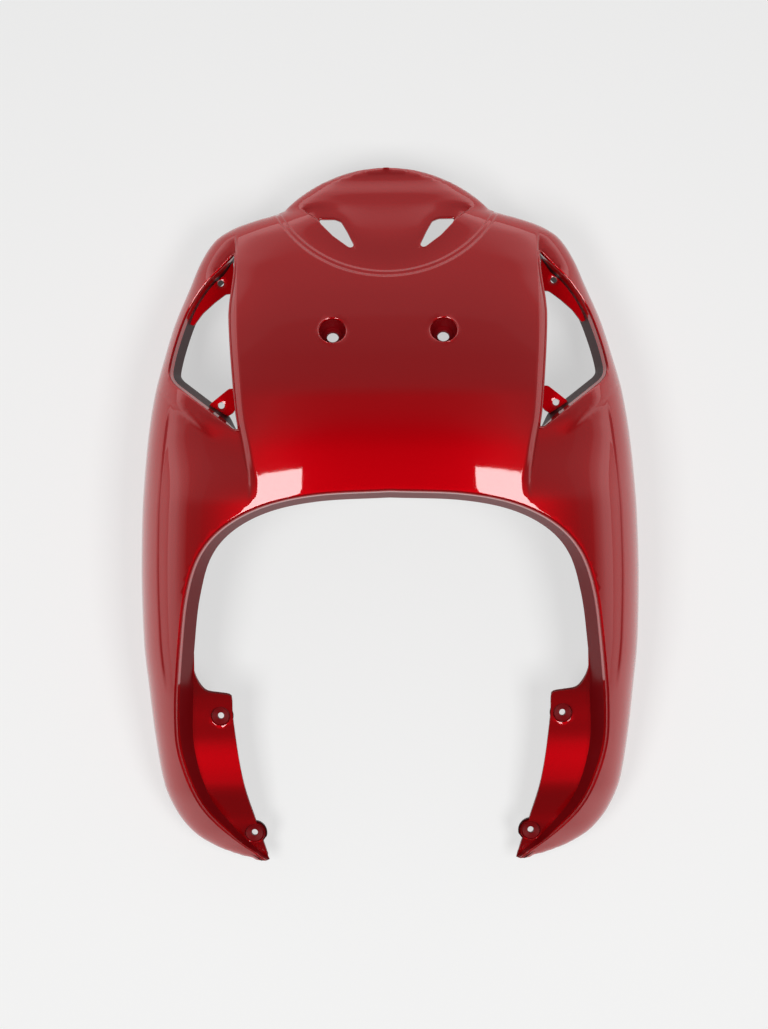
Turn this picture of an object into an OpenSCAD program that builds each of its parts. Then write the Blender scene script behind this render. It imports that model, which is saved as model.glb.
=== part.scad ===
// Front nose panel of a scooter: one injection-moulded shell, lying on its back rim.
// X runs across the panel, Y from the leg tips to the beak, Z out of the front face.

/* [Overall] */
// Width across the two sides
panel_w = 401; // [385:1:420]
// Length from the leg tips to the beak
panel_l = 559; // [540:1:580]
// Height of the shield's ridge over the back rim
panel_h = 150; // [140:1:160]
// Thickness of the moulded wall
wall = 3; // [2.5:0.1:3.6]

/* [Wheel arch] */
// Width between the two arch folds at their widest
arch_w = 336; // [326:1:344]
// Height of the arch top over the leg tips
arch_top = 298; // [290:1:306]
// Depth of the return wall under the arch fold
arch_depth = 30; // [24:1:36]
// Inward draft of the arch return wall over its depth
arch_draft = 8; // [5:0.5:10]

/* [Leg flanges] */
// Height over the leg tips at which each flange begins
flange_top = 139; // [130:1:148]
// Depth of the flange under the fold at its top
flange_depth = 34; // [30:1:38]
// Bore of the four leg screw holes
leg_bore_d = 5; // [4:0.5:6.5]
// Width of the recess round each leg screw hole
leg_recess_d = 15; // [12:0.5:18]
// Depth of the recess round each leg screw hole
leg_recess_depth = 1.5; // [1:0.1:2]
// Distance between the two upper leg holes
upper_hole_pitch = 274; // [270:1:278]
// Distance between the two lower leg holes
lower_hole_pitch = 225; // [222:1:228]
// Height of the upper leg holes over the leg tips
upper_hole_y = 121; // [117:1:124]
// Height of the lower leg holes over the leg tips
lower_hole_y = 23; // [21:1:26]
// Diameter of the boss under each leg hole
leg_boss_d = 11; // [9:0.5:13]
// Wall of the cup round each leg recess
leg_rim = 2; // [1.6:0.1:2.6]
// Length of the boss under each leg hole
leg_boss_h = 8; // [5:1:12]

/* [Centre shield] */
// Drop of the step wall beside the shield
step_drop = 11; // [8:0.5:13]
// Width of the sloped step wall
step_run = 6.6; // [5:0.2:8]
// Distance between the two shield screws
screw_pitch = 85; // [80:1:92]
// Height of the shield screws over the leg tips
screw_y = 422; // [414:1:428]
// Bore of the shield screw holes
screw_bore_d = 9; // [6:0.5:10]
// Width of the screw recess at its mouth
cup_mouth_d = 20; // [17:0.5:24]
// Width of the screw recess at its floor
cup_floor_d = 15; // [13:0.5:16]
// Depth of the screw recess
cup_depth = 11; // [8:0.5:13]
// Lean of the screw axis towards the beak
cup_lean = 22; // [16:1:26]

/* [Beak] */
// Radius of the groove round the beak
groove_r = 97.5; // [92:0.5:102]
// Width of the groove
groove_w = 5; // [4:0.5:7]
// Depth of the groove
groove_depth = 1.8; // [1:0.1:2.2]
// Depth of the rim wall under the beak and the leg tips
rim_depth = 12; // [9:1:16]

/* [Lamp openings] */
// Depth of the return wall round each lamp opening
lamp_depth = 24; // [18:1:28]
// Inward draft of that wall over its depth
lamp_draft = 6; // [4:0.5:7]
// Bore of the lamp screw tabs
tab_bore_d = 5; // [4:0.5:6]
// Thickness of the lamp screw tabs
tab_t = 3; // [2.5:0.1:4]
// Rise of the lip under each lamp opening
lip_rise = 2.5; // [1.5:0.1:3.5]
// Width of the lip under each lamp opening
lip_w = 12; // [9:0.5:14]

/* [Side rolls] */
// Width of the rolled side along each leg
roll_w = 18; // [15:0.5:21]
// Drop from the roll to the leg's front face
face_drop = 2; // [1:0.1:2.6]

/* [Hidden] */
paint = "#a31520";
tiny = 0.01;
round_steps = 24;
bore_steps = 48;
half_w = panel_w / 2;
// The lists below are drawn for this length, and are stretched to the length set above
drawn_l = 559;
stretch = panel_l / drawn_l;
// The dome's outline is an arc whose tip is cut flat over this depth
tip_flat = 0.7;
dome_r = 118;
dome_y = panel_l + tip_flat - dome_r;
notch_y = 523 * stretch;
// Width of the crest beside each roll and of the dip behind it
crest_w = 2.5;
crest_flat = 4;
dip_w = 34;
// Distance from the edge to the root of a return wall, within the skin
root = 0.8;
// Depth of a leg recess under the flange's face, over its own ledge
leg_ledge = 2;

// Side outline, as inset from the widest point at each height
side_inset = [[0, 87], [4, 74], [11, 56], [23, 37.5], [42, 23], [65, 14], [102, 8.5], [144, 4.5],
    [185, 1], [233, 0], [279, 1], [309, 3], [344, 6.5], [378, 12], [408, 20], [434, 28],
    [466, 41.5], [484, 49.5], [502, 62], [511, 76], [518, 96], [523, 112]];
// Height of the ridge along the centre, as a drop from the highest point; it goes on over the
// open arch as the crown that the two legs are parts of
ridge_drop = [[0, 110], [30, 86], [63, 56], [120, 27], [171, 11], [212, 5], [262, 2], [300, 0.5],
    [330, 0], [370, 3], [400, 10], [425, 19], [450, 30.5], [475, 44], [505, 62], [535, 80], [559, 92]];
// Height at which the rolled side turns upright
seam_height = [[0, 20], [30, 16], [63, 14], [120, 20], [171, 25], [400, 25], [450, 28], [484, 36],
    [502, 42], [526, 48], [559, 56]];
// Height of the back rim
rim_height = [[0, 12], [20, 8], [60, 0], [450, 0], [484, 20], [502, 30], [526, 37], [559, 45]];
// Crease at the top of the step wall, by height
shield_edge = [[0, 60], [289, 101], [300, 100], [325, 104], [340, 107], [355, 110], [384, 113],
    [424, 116.5], [451, 118], [500, 118], [560, 118]];
// Share of the full step drop, by height
step_share = [[0, 0], [289, 0], [343, 1], [480, 1], [508, 0.4], [518, 0], [560, 0]];
// Share of the drop from the roll to the leg's face, by height
face_share = [[0, 0], [140, 0], [165, 1], [350, 1], [372, 0], [560, 0]];
// Fold round the wheel arch, from the tip to the centre
fold = [[103, 0], [126, 20], [151, 50], [166, 90], [168, 125], [163, 179], [157, 221], [146, 251],
    [126, 272.5], [95, 288], [55, 296], [0, 298.5]];
// Share of the fold's depth that is left at the tip and along the flange
flange_share = [[0, 0.24], [0.25, 0.5], [0.5, 0.72], [0.77, 0.93], [1, 1]];
// Inner edge of each leg flange, by height
flange_edge = [[0, 101], [10, 104], [32, 110.5], [58, 118], [87, 123.5], [118, 127], [134, 127.5],
    [141, 134], [147, 149], [165, 155]];
// Share of the step wall's width that is left beside the lamp opening's upper end
run_share = [[0, 1], [430, 1], [480, 0.35], [560, 0.35]];
// Outer bow and heel of the right lamp opening, from its upper point to its straight base
lamp_bow = [[122, 486], [134, 472], [145.5, 465], [158.3, 443.6], [166.4, 418.5], [171, 399],
    [170.6, 390], [165.7, 383.5]];
lamp_low = 347;
lamp_high = 488;
// Corners of the right vent slot in the beak
vent_outline = [[54, 515], [41, 514.3], [36, 512], [31.4, 503.7], [26, 492], [27.5, 490],
    [30, 490.3], [42.4, 500.2], [52, 510.7]];

// Smooth curve through a list of [place, value] pairs
function grade(t, i) = (t[i + 1][1] - t[i][1]) / (t[i + 1][0] - t[i][0]);
function slope(t, i) = i == 0 || i == len(t) - 1 ? 0
    : grade(t, i - 1) * grade(t, i) <= 0 ? 0 : 2 / (1 / grade(t, i - 1) + 1 / grade(t, i));
function find(t, x, i = 0) = i >= len(t) - 2 || x < t[i + 1][0] ? i : find(t, x, i + 1);
function smooth(t, x) =
    let (i = find(t, x), h = t[i + 1][0] - t[i][0], u = min(1, max(0, (x - t[i][0]) / h)),
        u2 = u * u, u3 = u2 * u)
    t[i][1] * (2 * u3 - 3 * u2 + 1) + t[i + 1][1] * (3 * u2 - 2 * u3)
        + slope(t, i) * h * (u3 - 2 * u2 + u) + slope(t, i + 1) * h * (u3 - u2);
function ramp(u) = let (v = min(1, max(0, u))) v * v * (3 - 2 * v);
// Value of a list at a height over the leg tips, and a drawn outline at the panel's own length
function at(t, y) = smooth(t, y / stretch);
function stretched(p) = [for (q = p) [q[0], q[1] * stretch]];

// Point at share u of the stretch i of a line of points, on a curve through them
function on_curve(p, i, u) =
    let (n = len(p), a = p[max(i - 1, 0)], b = p[i])
    let (c = p[min(i + 1, n - 1)], d = p[min(i + 2, n - 1)])
    0.5 * (2 * b + u * (c - a) + u * u * (2 * a - 5 * b + 4 * c - d)
        + u * u * u * (3 * b - a - 3 * c + d));
function curve(p, n) =
    [for (i = [0 : len(p) - 2], k = [0 : n - 1]) on_curve(p, i, k / n), p[len(p) - 1]];
function reversed(p) = [for (i = [len(p) - 1 : -1 : 0]) p[i]];

// Outer form
function side_x(y) = y < notch_y ? half_w - at(side_inset, y)
    : sqrt(max(1, dome_r * dome_r - (y - dome_y) * (y - dome_y)));
function ridge_z(y) = panel_h - at(ridge_drop, y);
function seam_z(y) = at(seam_height, y);
function crown_z(x, y) = let (w = min(1, abs(x) / side_x(y)))
    seam_z(y) + (ridge_z(y) - seam_z(y)) * pow(1 - w * w * w, 1 / 3);
function edge_x(y) = min(at(shield_edge, y), 0.8 * side_x(y));
function foot_x(y) = min(edge_x(y) + step_run * at(run_share, y), 0.87 * side_x(y));
function roll_x(y) = max(side_x(y) - roll_w, 0.6 * foot_x(y) + 0.4 * side_x(y));
function step_z(x, y) =
    let (e = edge_x(y), f = foot_x(y), s = side_x(y), a = abs(x), out = max(0, (a - f) / (s - f)))
    step_drop * at(step_share, y) * ramp((a - e) / (f - e)) * (1 - out * out);
function face_z(x, y) =
    let (r = roll_x(y), a = abs(x))
    face_drop * at(face_share, y) * ramp((r - a) / crest_w)
        * (1 - ramp((r - a - crest_flat) / dip_w));
function front_z(x, y) = crown_z(x, y) - step_z(x, y) - face_z(x, y);

// Section of the shell at one height: the outside from rim to rim, then the inside back
function roll_cols(s, r, n) = let (t0 = asin(pow(r / s, 1.5)))
    [for (k = [0 : n]) s * pow(sin(t0 + (90 - t0) * k / n), 2 / 3)];
function half_cols(y) =
    let (s = side_x(y), e = edge_x(y), f = foot_x(y), r = roll_x(y), r2 = r - min(crest_w, (r - f) / 4))
    concat([for (k = [1 : 3]) e * k / 3], [f], [for (k = [1 : 2]) f + (r2 - f) * k / 3], [r2],
        roll_cols(s, r, 4));
function half_outside(y) =
    concat([for (x = half_cols(y)) [x, front_z(x, y)]], [[side_x(y), at(rim_height, y)]]);
function outside(y) = let (h = half_outside(y))
    concat([for (i = [len(h) - 1 : -1 : 0]) [-h[i][0], h[i][1]]], [[0, front_z(0, y)]], h);
function unit(v) = v / max(norm(v), tiny);
// Where the outline runs across the section, the wall is wider there so that it stays as thick
function slant(y) = (side_x(y + 1) - side_x(y - 1)) / 2;
function widening(y) = min(3, sqrt(1 + slant(y) * slant(y)));
function inside(p, y) = [for (i = [0 : len(p) - 1])
    let (a = p[max(i - 1, 0)], b = p[min(i + 1, len(p) - 1)], d = unit(b - a))
    p[i] - wall * [-d[1] * widening(y), d[0]]];
function shell_loop(y) = let (o = outside(y))
    [for (q = concat(o, reversed(inside(o, y)))) [q[0], y, q[1]]];
drawn_stations = [0, 3, 8, 16, 28, 42, for (y = [60 : 23 : 290]) y, for (y = [300 : 14 : 482]) y, 492,
    500, 508, 514, 519, 523, 527, 533, 540, 547, 553, 557, 559];
stations = [for (y = drawn_stations) y * stretch];

// Solid skin over equal loops of points, with flat ends
module loft(loops, closed = false) {
    n = len(loops[0]);
    m = len(loops);
    last = closed ? m - 1 : m - 2;
    sides = [for (i = [0 : last], k = [0 : n - 1])
        let (j = (i + 1) % m, l = (k + 1) % n) each [[i * n + k, j * n + l, i * n + l],
            [i * n + k, j * n + k, j * n + l]]];
    start = [for (k = [0 : n / 2 - 2]) each [[k, k + 1, n - 1 - k], [k + 1, n - 2 - k, n - 1 - k]]];
    b = (m - 1) * n;
    finish = [for (f = start) [b + f[0], b + f[2], b + f[1]]];
    polyhedron([for (l = loops) each l], closed ? sides : concat(sides, start, finish));
}

module shell() { loft([for (y = stations) shell_loop(y)]); }

// Return wall under an edge: it hangs from the skin along a path and leans inwards by its draft.
function inward(p, i) =
    let (a = p[max(i - 1, 0)], b = p[min(i + 1, len(p) - 1)], d = unit(b - a)) [-d[1], d[0]];
function wall_loop(q, n, depth, draft) =
    let (top = q - n * root, back = top - n * wall, foot = q + n * draft, heel = foot - n * wall,
        low = front_z(q[0], q[1]) - depth)
    [[top[0], top[1], front_z(top[0], top[1]) - wall * 0.45],
        [back[0], back[1], front_z(back[0], back[1]) - wall * 0.6],
        [heel[0], heel[1], low], [foot[0], foot[1], low]];
// The wall's bends fall between the bends of the edge, so that no two creases coincide
function between(p) =
    [p[0], for (i = [0 : len(p) - 2]) p[i] * 0.45 + p[i + 1] * 0.55, p[len(p) - 1]];
module return_wall(edge, depth, draft) {
    path = between(edge);
    loft([for (i = [0 : len(path) - 1]) wall_loop(path[i], inward(path, i), depth, draft)]);
}

// Wheel arch: its fold, the wall under it and the flange on each leg
arch_scale = [arch_w / 336, arch_top / 298.5];
right_fold = [for (q = curve(fold, 2)) [q[0] * arch_scale[0], q[1] * arch_scale[1]]];
arch_path = concat(right_fold, [for (i = [len(right_fold) - 2 : -1 : 0])
    [-right_fold[i][0], right_fold[i][1]]]);
fold_by_y = [for (q = fold) [q[1] * arch_scale[1], q[0] * arch_scale[0]]];
function fold_x(y) = smooth(fold_by_y, y);
function fold_depth(y) = y < flange_top ? flange_depth * smooth(flange_share, y / flange_top)
    : arch_depth + (flange_depth - arch_depth) * (1 - ramp((y - flange_top) / 20));
function flange_z(y) = front_z(fold_x(y), y) - fold_depth(y);
module arch_gap() {
    translate([0, 0, -1])
        linear_extrude(panel_h + 2)
            polygon(concat([[arch_path[0][0], -5]], arch_path, [[-arch_path[0][0], -5]]));
}
module arch_wall() {
    path = between(arch_path);
    loft([for (i = [0 : len(path) - 1])
        let (q = path[i], d = fold_depth(q[1]))
        wall_loop(q, inward(path, i), d, arch_draft * d / arch_depth)]);
}
flange_stations = [0, 5, 12, 22, 35, 50, 68, 88, 108, 124, for (k = [-5, 1, 5, 10, 20]) flange_top + k];
module flange() {
    loft([for (y = flange_stations)
        let (z = flange_z(y), near = at(flange_edge, y),
            far = fold_x(y) - arch_draft * fold_depth(y) / arch_depth - wall / 2)
        [[far, y, z], [far, y, z - wall], [near, y, z - wall], [near, y, z]]]);
}

// Short stop that closes the rim at the beak's tip
module beak_stop() {
    translate([-8, panel_l - 4, seam_z(panel_l) - rim_depth])
        cube([16, 3, rim_depth + root]);
}
module tip_trim() { translate([-half_w, -20, -1]) cube([panel_w, 20, panel_h]); }

// Lamp openings, with the wall round each
lamp_ys = [for (k = [0 : 7]) (lamp_low + (lamp_high - lamp_low) * k / 7) * stretch];
lamp_edge = [for (y = lamp_ys) [foot_x(y), y]];
lamp_side = curve(stretched(lamp_bow), 2);
lamp_base = [lamp_side[len(lamp_side) - 1], [foot_x(lamp_ys[0]) + 3, lamp_ys[0]]];
module lamp_plan() { polygon(concat(lamp_edge, lamp_side, [lamp_base[1]])); }
module lamp_hole() { linear_extrude(panel_h) lamp_plan(); }
module lamp_walls() {
    return_wall(reversed(lamp_side), lamp_depth, lamp_draft);
    return_wall(reversed(lamp_base), lamp_depth, lamp_draft);
    return_wall(reversed(lamp_edge), lamp_depth, 0);
}

module both_sides() {
    children();
    mirror([1, 0, 0]) children();
}

// Screw tabs at the upper and lower ends of each lamp opening
upper_tab = stretched([[123, 459], [152, 455], [146, 466], [134, 472.5], [123, 485]]);
lower_tab = stretched([[118, 346], [124, 346], [154, 372], [152, 376], [141, 374], [130, 384],
    [121, 378]]);
tab_sink = 0.75;
function tab_place(x, y) = [x, y * stretch, front_z(x, y * stretch) - lamp_depth * tab_sink];
upper_tab_hole = tab_place(133, 467);
lower_tab_hole = tab_place(130, 367);
module tab(outline, z) {
    translate([0, 0, z - tab_t])
        linear_extrude(tab_t)
            offset(delta = 1)
                polygon(outline);
}
module tabs() {
    tab(upper_tab, upper_tab_hole[2]);
    tab(lower_tab, lower_tab_hole[2]);
}

// Raised lip under each lamp opening
function lip_loop(q, n) =
    [for (k = [-1, -0.7, -0.3, 0.3, 0.7, 1])
        let (c = q - n * lip_w * (k + 1) / 2)
        [c[0], c[1], front_z(c[0], c[1]) + lip_rise * (1 - k * k) - (abs(k) == 1 ? 1 : 0)],
     for (k = [1, -1])
        let (c = q - n * (lip_w * (k + 1) / 2))
        [c[0], c[1], front_z(c[0], c[1]) - wall + 0.5]];
lip_path = stretched([[171, 390], [166.5, 384], [154, 373.5], [138, 360], [122, 346.5]]);
module lip() {
    path = reversed(lip_path);
    loft([for (i = [0 : len(path) - 1]) lip_loop(path[i], inward(path, i))]);
}

// Groove round the beak
groove_end = 66.5;
groove_y = panel_l + 7;
groove_section = [[0.5, -2], [-0.5, -2], [-0.2, 1], [0.2, 1]];
function groove_loop(a) = [for (s = groove_section)
    let (r = groove_r + s[0] * groove_w, x = r * sin(a), y = groove_y - r * cos(a))
    [x, y, front_z(x, y) - s[1] * groove_depth]];
module groove() {
    loft([for (k = [7 : -1 : -7]) groove_loop(groove_end * k / 7)]);
}

module vent() {
    linear_extrude(panel_h)
        polygon(stretched(vent_outline));
}

// Screw recesses in the shield, square to its face
module at_screw() {
    both_sides()
        translate([screw_pitch / 2, screw_y, front_z(screw_pitch / 2, screw_y)])
            rotate([-cup_lean, 0, 0])
                children();
}
module cup_body() {
    translate([0, 0, -cup_depth - wall])
        cylinder(h = cup_depth + wall / 2, d1 = cup_floor_d + 2 * wall, d2 = cup_mouth_d + 2 * wall - 2,
            $fn = round_steps);
}
module cup_space() {
    translate([0, 0, -cup_depth])
        cylinder(h = cup_depth * 1.5, d1 = cup_floor_d, d2 = 1.5 * cup_mouth_d - 0.5 * cup_floor_d,
            $fn = round_steps);
}

// Screw recesses in the leg flanges
module at_leg_holes() {
    both_sides()
        for (q = [[upper_hole_pitch / 2, upper_hole_y], [lower_hole_pitch / 2, lower_hole_y]])
            translate([q[0], q[1], flange_z(q[1])])
                children();
}
leg_cup_d = leg_recess_d + 2 * leg_rim;
leg_sunk = leg_recess_depth + leg_ledge;
module leg_cup() {
    translate([0, 0, -leg_sunk - wall])
        cylinder(h = leg_sunk + wall + 1.5, d = leg_cup_d, $fn = round_steps);
    translate([0, 0, -leg_sunk - leg_boss_h])
        cylinder(h = leg_boss_h, d = leg_boss_d, $fn = round_steps);
}
module leg_cup_space() {
    translate([0, 0, -leg_sunk])
        cylinder(h = 12, d = leg_recess_d, $fn = round_steps);
}

// The whole moulding before its screw holes are drilled, brought to its exact width
module moulding() {
    resize([panel_w, 0, 0])
        difference() {
            union() {
                difference() {
                    shell();
                    arch_gap();
                    both_sides() lamp_hole();
                }
                arch_wall();
                beak_stop();
                both_sides() {
                    flange();
                    lamp_walls();
                    tabs();
                    lip();
                }
                at_screw() cup_body();
                at_leg_holes() leg_cup();
            }
            tip_trim();
            groove();
            both_sides() vent();
            at_screw() cup_space();
            at_leg_holes() leg_cup_space();
        }
}

module bore(d, h) {
    translate([0, 0, -h])
        cylinder(h = 2 * h, d = d, $fn = bore_steps);
}

module nose_panel() {
    color(paint)
        translate([0, -panel_l / 2, 0])
            difference() {
                moulding();
                at_screw()
                    translate([0, 0, -cup_depth])
                        bore(screw_bore_d, 8);
                at_leg_holes()
                    bore(leg_bore_d, 30);
                both_sides()
                    for (q = [upper_tab_hole, lower_tab_hole])
                        translate(q)
                            bore(tab_bore_d, 8);
            }
}

nose_panel();
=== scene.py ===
import math

import bmesh
import bpy
import numpy as np
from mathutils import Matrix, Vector
from mathutils.geometry import delaunay_2d_cdt


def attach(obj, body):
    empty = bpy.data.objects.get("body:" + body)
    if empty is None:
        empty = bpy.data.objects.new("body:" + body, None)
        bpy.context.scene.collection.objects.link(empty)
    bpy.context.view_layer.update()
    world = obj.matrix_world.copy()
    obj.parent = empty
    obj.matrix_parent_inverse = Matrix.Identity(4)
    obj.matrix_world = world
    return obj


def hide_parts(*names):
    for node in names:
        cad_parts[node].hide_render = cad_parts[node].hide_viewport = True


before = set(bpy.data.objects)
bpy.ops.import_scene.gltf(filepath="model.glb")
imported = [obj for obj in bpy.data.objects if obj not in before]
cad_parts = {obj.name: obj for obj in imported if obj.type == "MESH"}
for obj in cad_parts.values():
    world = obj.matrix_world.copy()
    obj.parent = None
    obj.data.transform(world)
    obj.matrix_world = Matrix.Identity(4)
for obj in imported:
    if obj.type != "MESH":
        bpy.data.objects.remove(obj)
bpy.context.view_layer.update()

# Sizes in millimetres: x runs across, y up from the leg tips, z out of the front face
LENGTH, WIDTH, HEIGHT = 559.0, 401.0, 150.0
HALF_WIDTH = WIDTH / 2
WALL = 3.0
# the dome is an arc round the centre line, and each side's outline meets it in a notch
DOME_R, NOTCH_Y = 118.0, 523.0
DOME_Y = LENGTH + 0.03 - DOME_R
# the step beside the shield, and the shares of the half width that its edge and foot stay within
STEP_DROP, STEP_RUN = 11.0, 6.6
EDGE_LIMIT, FOOT_LIMIT = 0.92, 0.955
# the roll along each side, the crest before it and the shallow dip of the face beside the crest;
# near the dome the roll starts no nearer the centre than a mean of foot and side, weighed by the limit
ROLL_W, ROLL_LIMIT = 18.0, 0.6
FACE_DROP, CREST_W, CREST_FLAT, DIP_W = 1.3, 3.5, 4.0, 34.0
# the wheel arch wall, which stands steeper towards the centre, and the flange it turns into
ARCH_DEPTH, ARCH_DRAFT, FLANGE_TOP, FLANGE_DEPTH = 30.0, 8.2, 139.0, 34.0
STEEPER, STEEPER_FROM, STEEPER_OVER = 0.45, 220, 70
FLANGE_BLEND, FLANGE_END = 20, 174
# the fillet of the fold is small at the leg's tip, where it also runs out sideways
FOLD_TIP_R, FOLD_GAIN_R, FOLD_GAIN_OVER, FOLD_TURN_OVER = 0.9, 1.8, 45, 12
# the groove is an arc round the beak, and fades out towards the arc's middle and at its two ends
GROOVE_R, GROOVE_Y, GROOVE_END = 97.5, LENGTH + 6.0, 67.0
GROOVE_HOLD, GROOVE_FADE, GROOVE_TAPER = 5, 30, 6
# where each step of the groove starts, its run and its drop
GROOVE_STEPS = ((2.7, 2.0, 1.5), (-1.6, 1.6, 1.0))
# lamp opening and vent slot: how deep the wall goes, how far it leans in and the radius of its edge
LAMP_DEPTH, LAMP_DRAFT, LAMP_LOW, LAMP_HIGH, LAMP_R = 24.0, 6.0, 347.0, 488.0, 2.0
VENT_DEPTH, VENT_DRAFT, VENT_R = 3.4, 0.15, 0.8
# the lip tapers over this many points of its line, and the scoop is the dish over the vent slot
LIP_RISE, LIP_W, LIP_TAPER, LIP_FULLNESS = 1.9, 14.0, 8, 0.7
SCOOP_DEPTH, SCOOP_RUN, SCOOP_FULL_W = 3.2, 1.5, 9
# the shield's screw recess leans back to stand square to the face
SCREW = (42.5, 422.0)
CUP_MOUTH, CUP_FLOOR, CUP_DEPTH, CUP_LEAN, CUP_R, SCREW_BORE = 20.0, 15.0, 11.0, math.radians(22), 1.6, 9.0
LEG_HOLES = ((137.0, 121.0), (112.5, 23.0))
LEG_BORE, LEG_RECESS, LEG_SUNK, LEG_EDGE = 5.0, 15.0, 3.5, 0.8
TAB_HOLES = ((133, 467), (130, 367))
TAB_HOLE_R, TAB_SINK = 2.5, 0.75

# Outlines and sections: tables of a place along y and a value, or points by x and y
SIDE_INSET = ((0, 87), (4, 74), (11, 56), (23, 37.5), (42, 23), (65, 14), (102, 8.5), (144, 4.5), (185, 1),
              (233, 0), (279, 1), (309, 3), (344, 6.5), (378, 12), (408, 20), (434, 28), (466, 41.5),
              (484, 49.5), (502, 62), (511, 76), (518, 96), (523, 112))
RIDGE_DROP = ((0, 110), (30, 86), (63, 56), (120, 27), (171, 11), (212, 5), (262, 2), (300, 0.5), (330, 0),
              (370, 3), (400, 10), (425, 19), (450, 30.5), (475, 44), (505, 62), (535, 80), (559, 92))
# the seam is where the roll ends and the skirt starts, and the rim is the skirt's lower edge
SEAM = ((0, 20), (30, 16), (63, 14), (120, 20), (171, 25), (400, 25), (450, 28), (484, 36), (502, 42),
        (526, 48), (559, 56))
RIM = ((0, 12), (20, 8), (60, 0), (450, 0), (484, 20), (502, 30), (526, 37), (559, 45))
SHIELD_EDGE = ((0, 60), (289, 101), (300, 100), (325, 104), (340, 107), (355, 110), (384, 113),
               (424, 116.5), (451, 118), (500, 118), (560, 118))
# how much of the step's drop, of its run and of the face's dip there is along y
STEP_SHARE = ((0, 0), (289, 0), (343, 1), (470, 1), (494, 0.35), (507, 0), (560, 0))
RUN_SHARE = ((0, 1), (430, 1), (480, 0.35), (560, 0.35))
FACE_SHARE = ((0, 0), (140, 0), (165, 1), (350, 1), (372, 0), (560, 0))
# the step's profile: a slope that catches the low light, then a steep fall to its foot
STEP_FORM = ((0, 0), (0.12, 0.03), (0.26, 0.11), (0.72, 0.37), (0.83, 0.52), (0.94, 0.92), (1, 1))
# the fold from the outer face into the arch wall, from the leg's tip to the centre line
FOLD = ((103, 0), (126, 20), (151, 50), (166, 90), (168, 125), (163, 179), (157, 221), (146, 251),
        (126, 272.5), (95, 288), (55, 296), (0, 298.5))
# how the flange's depth grows from the leg's tip upwards, in shares of its length and depth
FLANGE_SHARE = ((0, 0.24), (0.25, 0.5), (0.5, 0.72), (0.77, 0.93), (1, 1))
FLANGE_EDGE = ((101, -1), (104, 10), (110.5, 32), (118, 58), (123.5, 87), (127, 118), (127.2, 134),
               (129, 138), (137, 139.5), (147.4, 141.5), (153, 148.6), (156, 158), (157.6, 171))
# the outer side of the lamp opening, and the lip that follows it and turns in below it
LAMP_BOW = ((122, 486), (132.5, 475.5), (144.5, 463.5), (157.5, 443), (166.4, 418.5), (171, 399),
            (170.6, 390), (165.7, 383.5))
LIP_PATH = ((171, 390), (166.5, 384), (154, 373.5), (138, 360), (122, 346.5))
VENT = ((54, 515), (41, 514.3), (36, 512), (31.4, 503.7), (26, 492), (27.5, 490), (30, 490.3),
        (42.4, 500.2), (52, 510.7))
# the dish over each vent slot lies between a crisp crease below and a soft brow above
CREASE_PATH = ((24, 488.5), (27, 490.6), (30, 491.2), (42.4, 501), (52, 511.5), (60, 518), (69, 525))
BROW_PATH = ((24, 488.5), (24.5, 500), (28, 513), (38.3, 526), (48.6, 529.7), (60.5, 529), (69, 525))
UPPER_TAB = ((122, 458.7), (129, 458.2), (138, 451.5), (147.5, 443), (155, 433), (160, 436), (153, 456),
             (146, 466), (134, 472.5), (123, 485))
LOWER_TAB = ((118, 366), (121, 361), (131, 355), (138.5, 360), (139, 368), (124, 380), (118, 380))

# Fineness of the mesh: its grid, its rows, and how far grid and lines keep off the edges
GRID, ROW_SHARE, KEEP_OFF, LINE_KEEP_OFF = 2.8, 0.87, 1.35, 0.35
SMALL_GRID, SMALL_KEEP_OFF = 2.6, 1.4
ROW_STEP, STEP_ROWS, CREST_ROWS = 2.4, (290, 519), (142, 371)
# stations along the outer line: top, dome, notch, leg and tip
TOP_STATIONS, DOME_STATIONS, NOTCH_STATIONS, LEG_STATIONS, TIP_STATIONS = 24, 42, 26, 190, 14
# spacing of the points round each opening and tab, and the rounding of their corners
LAMP_SPACING, LAMP_CORNER = 2.0, 3.0
VENT_SPACING, VENT_CORNER = 1.2, 1.6
TAB_SPACING, TAB_CORNER = 1.6, 1.6
# the mesh has a line at each of these shares of a slope's run, and one beyond each end
SLOPE_SHARES = (0, 0.15, 0.3, 0.5, 0.7, 0.85, 1)
STEP_LINES = (-0.25, *SLOPE_SHARES, 1.3)
CREST_LINES = (-0.4, *SLOPE_SHARES, 1.5)
GROOVE_LINES = (-0.3, *SLOPE_SHARES, 1.3)
FOLD_ARCS, ARCH_ROWS = 6, 8
LAMP_ARCS, LAMP_ROWS = 5, 8
VENT_ARCS, VENT_ROWS = 4, 3
CUP_ARCS, CUP_ROWS = 5, 4


# Form of the outer face
def smooth(table, x):
    """A smooth curve through a table of places and values, which never swings past them."""
    place, value = np.array(table, float).T
    gap = np.diff(place)
    slope = np.diff(value) / gap
    tangent = np.zeros(len(place))
    for i in range(1, len(place) - 1):
        if slope[i - 1] * slope[i] > 0:
            tangent[i] = 2 / (1 / slope[i - 1] + 1 / slope[i])
    x = np.asarray(x, float)
    i = np.clip(np.searchsorted(place, x, side="right") - 1, 0, len(place) - 2)
    u = np.clip((x - place[i]) / gap[i], 0, 1)
    return (value[i] * (2 * u ** 3 - 3 * u ** 2 + 1) + value[i + 1] * (3 * u ** 2 - 2 * u ** 3)
            + tangent[i] * gap[i] * (u ** 3 - 2 * u ** 2 + u)
            + tangent[i + 1] * gap[i] * (u ** 3 - u ** 2))


def ramp(u):
    """From 0 to 1 with soft ends."""
    v = np.clip(u, 0, 1)
    return v * v * (3 - 2 * v)


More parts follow.
